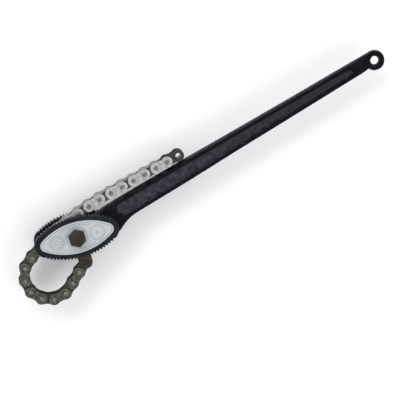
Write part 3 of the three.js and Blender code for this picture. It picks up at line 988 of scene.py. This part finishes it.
def make_washer(node, finish, slot):
    """A flat washer with softly rounded rims."""
    z0, z1 = span(node)
    r0, r1 = BOLT_HOLE_RADIUS, WASHER_RADIUS
    rim, part = WASHER_RIM, WASHER_RIM * WASHER_RIM_SHARE
    profile = [
        [r0 + rim, z0], [r1 - rim, z0], [r1 - part, z0 + part], [r1, z0 + rim], [r1, z1 - rim],
        [r1 - part, z1 - part], [r1 - rim, z1], [r0 + rim, z1], [r0, z1 - rim], [r0, z0 + rim],
    ]
    mesh = mesh_of(node, [(*lathe(profile, 0, WASHER_SIDES), 0)], [finish], sharp=50)
    piece(node + "_ring", mesh, "jaws", node, slot)


# ---- chain ----

LINK_END_STEPS, LINK_SIDE_STEPS = 22, 10
LINK_HOLE_SIDES, PIN_SIDES, BUSH_SIDES = 32, 28, 32
LINK_SPACING = 2.6
STAMP_ROUND, STAMP_FLAT = 0.4, 0.75
PRESS_GAP = 0.03  # between a hole and what is pressed into it
PIN_CHAMFER, PIN_DOME, PIN_DOME_SHARE = 0.5, 0.18, 0.6
BUSH_CHAMFER = 0.3


def link_outline(height):
    """A figure-of-eight plate from pin to pin: two round ends and hollow sides."""
    r = height / 2
    waist = r * PLATE_WAIST
    hollow = (PITCH ** 2 / 4 + waist ** 2 - r ** 2) / (2 * (r - waist))
    lean = math.atan2(waist + hollow, PITCH / 2)
    far = arc(PITCH, 0, r, lean - math.pi, math.pi - lean, LINK_END_STEPS)
    top = arc(PITCH / 2, waist + hollow, hollow, -lean, lean - math.pi, LINK_SIDE_STEPS)[1:-1]
    near = arc(0, 0, r, lean, 2 * math.pi - lean, LINK_END_STEPS)
    bottom = arc(PITCH / 2, -waist - hollow, hollow, math.pi - lean, lean, LINK_SIDE_STEPS)[1:-1]
    return np.concatenate([far, top, near, bottom])


def link_plate(height, low, hole_radius):
    """A stamped plate with a hole at either end."""
    holes = [circle(x, 0, hole_radius, LINK_HOLE_SIDES) for x in (0, PITCH)]
    rows = rounding(STAMP_ROUND, 3) + [STAMP_FLAT]
    return rounded_sheet(link_outline(height), holes, low, PLATE_THICKNESS, STAMP_ROUND, rows, LINK_SPACING)


def two_toned(shell, outermost, painted_shade_number, lit_number):
    """A plate's shell with a material number for its outward face and another for its other faces: a
    painted shade on the outward face, lit steel on the rest.
    """
    points, faces = shell
    outward = [np.abs(points[list(f), 2]).min() > outermost for f in faces]
    return points, faces, [painted_shade_number if out else lit_number for out in outward]


def pin(x):
    """A riveted pin: slightly domed ends with a chamfered rim."""
    radius, end = PIN_RADIUS, -PIN_HALF_LENGTH
    profile = [[0, end], [radius * PIN_DOME_SHARE, end + PIN_DOME * 0.5]]
    profile += [[radius - PIN_CHAMFER, end + PIN_DOME], [radius, end + PIN_DOME + PIN_CHAMFER]]
    profile += [[r, -z] for r, z in reversed(profile)]
    return lathe(profile, x, PIN_SIDES)


def bush(x, bore, reach):
    """A plain tube with chamfered ends."""
    c, rim = BUSH_CHAMFER, BUSH_RADIUS
    profile = [
        [bore + c, -reach], [rim - c, -reach], [rim, -reach + c], [rim, reach - c],
        [rim - c, reach], [bore + c, reach], [bore, reach - c], [bore, -reach + c],
    ]
    return lathe(profile, x, BUSH_SIDES)


INNER_REACH = INNER_WIDTH / 2 + PLATE_THICKNESS
OUTER_PLATE_Z = INNER_WIDTH / 2 + PLATE_THICKNESS + GAP


def inner_link_mesh(name, plate_steel, bush_steel, end_bore):
    """Two plates on two bushes; the plates' outward faces take the first finish, a painted shade where they
    lie between the outer plates.
    """
    lows = -INNER_REACH, INNER_WIDTH / 2
    plates = [link_plate(INNER_PLATE_HEIGHT, low, BUSH_RADIUS + PRESS_GAP) for low in lows]
    bushes = [bush(0, BUSH_BORE_RADIUS, INNER_REACH), bush(PITCH, end_bore, INNER_REACH)]
    shells = [two_toned(plate, INNER_REACH - STAMP_ROUND / 2, 0, 1) for plate in plates]
    shells += [(*tube, 1) for tube in bushes]
    return mesh_of(name, shells, [plate_steel, bush_steel])


def pin_link_mesh(name, plate_steel, pin_steel):
    """A rear plate with its two riveted pins."""
    plate = link_plate(OUTER_PLATE_HEIGHT, -OUTER_PLATE_Z - PLATE_THICKNESS, PIN_RADIUS + PRESS_GAP)
    shells = [(*plate, 0), (*pin(0), 1), (*pin(PITCH), 1)]
    return mesh_of(name, shells, [plate_steel, pin_steel])


def cover_plate_mesh(name, plate_steel):
    """The front plate that the pins are riveted over."""
    plate = link_plate(OUTER_PLATE_HEIGHT, OUTER_PLATE_Z, PIN_RADIUS + GAP)
    return mesh_of(name, [(*plate, 0)], [plate_steel])


CHAIN_FINISHES = {
    "loop_chain_steel": (LOOP_STEEL, LOOP_PIN),
    "loop_inner_steel": (LOOP_INNER_SHADE, LOOP_INNER_SHADE),
    "tail_chain_steel": (TAIL_STEEL, TAIL_PIN),
    # Painted shade on the inner plates' outward faces, lit tail steel on their rims and bushes.
    "tail_inner_steel": (TAIL_INNER_SHADE, TAIL_STEEL),
    "end_link_steel": (END_STEEL, END_STEEL),
}


def link_matrix(index):
    """Where a link lies: from its own hinge towards the next."""
    here = HINGE_POINTS[index]
    if index + 1 < len(HINGE_POINTS):
        towards = HINGE_POINTS[index + 1] - here
    else:
        low, high = box_mm("inner_link_%02d" % (index + 1))
        towards = (low + high) / 2 - here
    turn = Matrix.Rotation(math.atan2(towards[1], towards[0]), 4, "Z")
    return Matrix.Translation(Vector(here) * MM) @ turn


def chain_meshes(slot, end_bore):
    """The meshes that the links of one finish share."""
    plate_steel, pin_steel = CHAIN_FINISHES[slot]
    if "inner" in slot or slot == "end_link_steel":
        return (inner_link_mesh("inner_" + slot, plate_steel, pin_steel, end_bore),)
    pins = pin_link_mesh("pins_" + slot, plate_steel, pin_steel)
    return pins, cover_plate_mesh("cover_" + slot, plate_steel)


def make_chain():
    """Inner and outer links by turns. The last one is an inner link with its own bore."""
    slots = {s["node"]: s["material_slot"] for s in frame["record"]["subparts"]}
    meshes = {}
    for index in range(len(HINGE_POINTS)):
        number = "%02d" % (index + 1)
        inner = index % 2 == 0
        last = index == len(HINGE_POINTS) - 1
        kinds = [("inner_link_", "inner_plates_")]
        if not inner:
            kinds = [("pin_link_", "pin_plate_"), ("cover_plate_", "front_plate_")]
        slot = slots[kinds[0][0] + number]
        if slot not in meshes:
            meshes[slot] = chain_meshes(slot, END_HOLE_RADIUS if last else BUSH_BORE_RADIUS)
        for (node, name), mesh in zip(kinds, meshes[slot]):
            piece(name + number, mesh, "link_" + number, node + number, slot, link_matrix(index))


# ---- shackle ----

ARM_ROUND, ARM_FLAT = 0.9, 1.4
ARM_SPACING = 2.6
ARM_EDGE_STEP = 1.6
ARM_PIN_END_STEPS, ARM_BOLT_END_STEPS = 26, 44
ARM_BORE_SIDES, ARM_PIN_HOLE_SIDES = 44, 28
SLEEVE_RADIUS, SLEEVE_CHAMFER = 10.4, 0.5


def shackle_outline(anchor):
    """Two round ends, about the bolt and about the anchor, joined by straight sides."""
    along = math.atan2(anchor.y, anchor.x)
    lean = math.acos((ARM_BOLT_END_RADIUS - ARM_PIN_END_RADIUS) / anchor.length)
    small = arc(anchor.x, anchor.y, ARM_PIN_END_RADIUS, along - lean, along + lean, ARM_PIN_END_STEPS)
    big = arc(0, 0, ARM_BOLT_END_RADIUS, along + lean, along - lean + 2 * math.pi, ARM_BOLT_END_STEPS)
    return resampled(np.concatenate([small, big]), ARM_EDGE_STEP)


def make_arm(name, low, outline, holes):
    rows = rounding(ARM_ROUND) + [ARM_FLAT]
    points, faces = rounded_sheet(outline, holes, low, ARM_THICKNESS, ARM_ROUND, rows, ARM_SPACING)
    mesh = mesh_of(name, [(points, faces, 0)], [SHACKLE_STEEL])
    piece(name + "_forging", mesh, "shackle", name, "shackle_steel")


def make_shackle():
    anchor = Vector(ANCHOR.tolist())
    outline = shackle_outline(anchor)
    bore = circle(0, 0, SLEEVE_HOLE_RADIUS, ARM_BORE_SIDES)
    pin_hole = circle(anchor.x, anchor.y, PIN_RADIUS + GAP, ARM_PIN_HOLE_SIDES)
    make_arm("shackle_front_arm", MID_Z + ARM_INNER_Z, outline, [bore, pin_hole])
    make_arm("shackle_rear_arm", MID_Z - ARM_INNER_Z - ARM_THICKNESS, outline, [bore, pin_hole])
    points, faces = pin(0)
    points = points + np.array([anchor.x, anchor.y, MID_Z])
    mesh = mesh_of("anchor_pin", [(points, faces, 0)], [BOLT_STEEL])
    piece("anchor_rivet", mesh, "shackle", "anchor_pin", "bolt_steel")


def make_sleeve():
    z0, z1 = span("pivot_sleeve")
    r0, r1, c = BOLT_HOLE_RADIUS, SLEEVE_RADIUS, SLEEVE_CHAMFER
    profile = [[r0, z0], [r1 - c, z0], [r1, z0 + c], [r1, z1 - c], [r1 - c, z1], [r0, z1]]
    mesh = mesh_of("pivot_sleeve", [(*lathe(profile, 0, SHANK_SIDES), 0)], [BOLT_STEEL])
    piece("pivot_tube", mesh, "jaws", "pivot_sleeve", "bolt_steel")


# ---- floor and light (metres) ----

FLOOR_HALF_SIZE, FLOOR_Z = 6.0, -0.0005
LIGHT_AIM = (0.2, 0.0, 0.03)
KEY_PLACE, KEY_SIZE, KEY_POWER = (-0.1, 2.0, 1.6), (2.6, 1.2), 34
FILL_PLACE, FILL_SIZE, FILL_POWER = (0.9, -1.5, 1.3), (1.8, 1.2), 12
SKY_COLOUR = (0.96, 0.98, 1.0, 1)
SKY_HORIZON, SKY_OVERHEAD = 0.98, 0.86


def add_floor():
    """A pale bench top just under the wrench."""
    size, z = FLOOR_HALF_SIZE, FLOOR_Z
    mesh = bpy.data.meshes.new("floor")
    corners = [(-size, -size, z), (size, -size, z), (size, size, z), (-size, size, z)]
    mesh.from_pydata(corners, [], [(0, 1, 2, 3)])
    m = Nodes("floor_white", (0.93, 0.93, 0.93), 0.85, 0.0)
    m.set("Specular IOR Level", 0.15)
    mesh.materials.append(m.material)
    floor = bpy.data.objects.new("floor", mesh)
    bpy.context.scene.collection.objects.link(floor)


def area_light(name, place, size, power):
    data = bpy.data.lights.new(name, "AREA")
    data.shape = "RECTANGLE"
    data.size, data.size_y = size
    data.energy = power
    lamp = bpy.data.objects.new(name, data)
    bpy.context.scene.collection.objects.link(lamp)
    lamp.location = place
    lamp.rotation_mode = "QUATERNION"
    lamp.rotation_quaternion = (Vector(place) - Vector(LIGHT_AIM)).to_track_quat("Z", "Y")


def add_sky():
    """A light tent, a little brighter round the sides than overhead."""
    world = bpy.data.worlds.new("studio")
    bpy.context.scene.world = world
    world.use_nodes = True
    tree = world.node_tree
    background = tree.nodes["Background"]
    background.inputs["Color"].default_value = SKY_COLOUR
    direction = tree.nodes.new("ShaderNodeSeparateXYZ")
    place = tree.nodes.new("ShaderNodeTexCoord").outputs["Generated"]
    tree.links.new(place, direction.inputs["Vector"])
    strength = tree.nodes.new("ShaderNodeMapRange")
    strength.inputs["To Min"].default_value = SKY_HORIZON
    strength.inputs["To Max"].default_value = SKY_OVERHEAD
    tree.links.new(direction.outputs["Z"], strength.inputs["Value"])
    tree.links.new(strength.outputs["Result"], background.inputs["Strength"])


def add_light():
    add_sky()
    area_light("key", KEY_PLACE, KEY_SIZE, KEY_POWER)
    area_light("fill", FILL_PLACE, FILL_SIZE, FILL_POWER)
    bpy.context.scene.view_settings.view_transform = "Standard"


add_camera()
make_handle()
for jaw, plate, outer_z, outward in (
    ("front_jaw", "front_nameplate", FRONT_JAW_HIGH, 1),
    ("rear_jaw", "rear_nameplate", REAR_JAW_LOW, -1),
):
    make_jaw(jaw, outer_z, outward)
    make_nameplate(plate, outer_z, outward)
make_jaw_bolt()
make_jaw_nut()
make_washer("lock_washer", BOLT_STEEL, "bolt_steel")
make_washer("head_washer", WASHER_STEEL, "washer_steel")
make_sleeve()
make_shackle()
make_chain()
add_floor()
add_light()
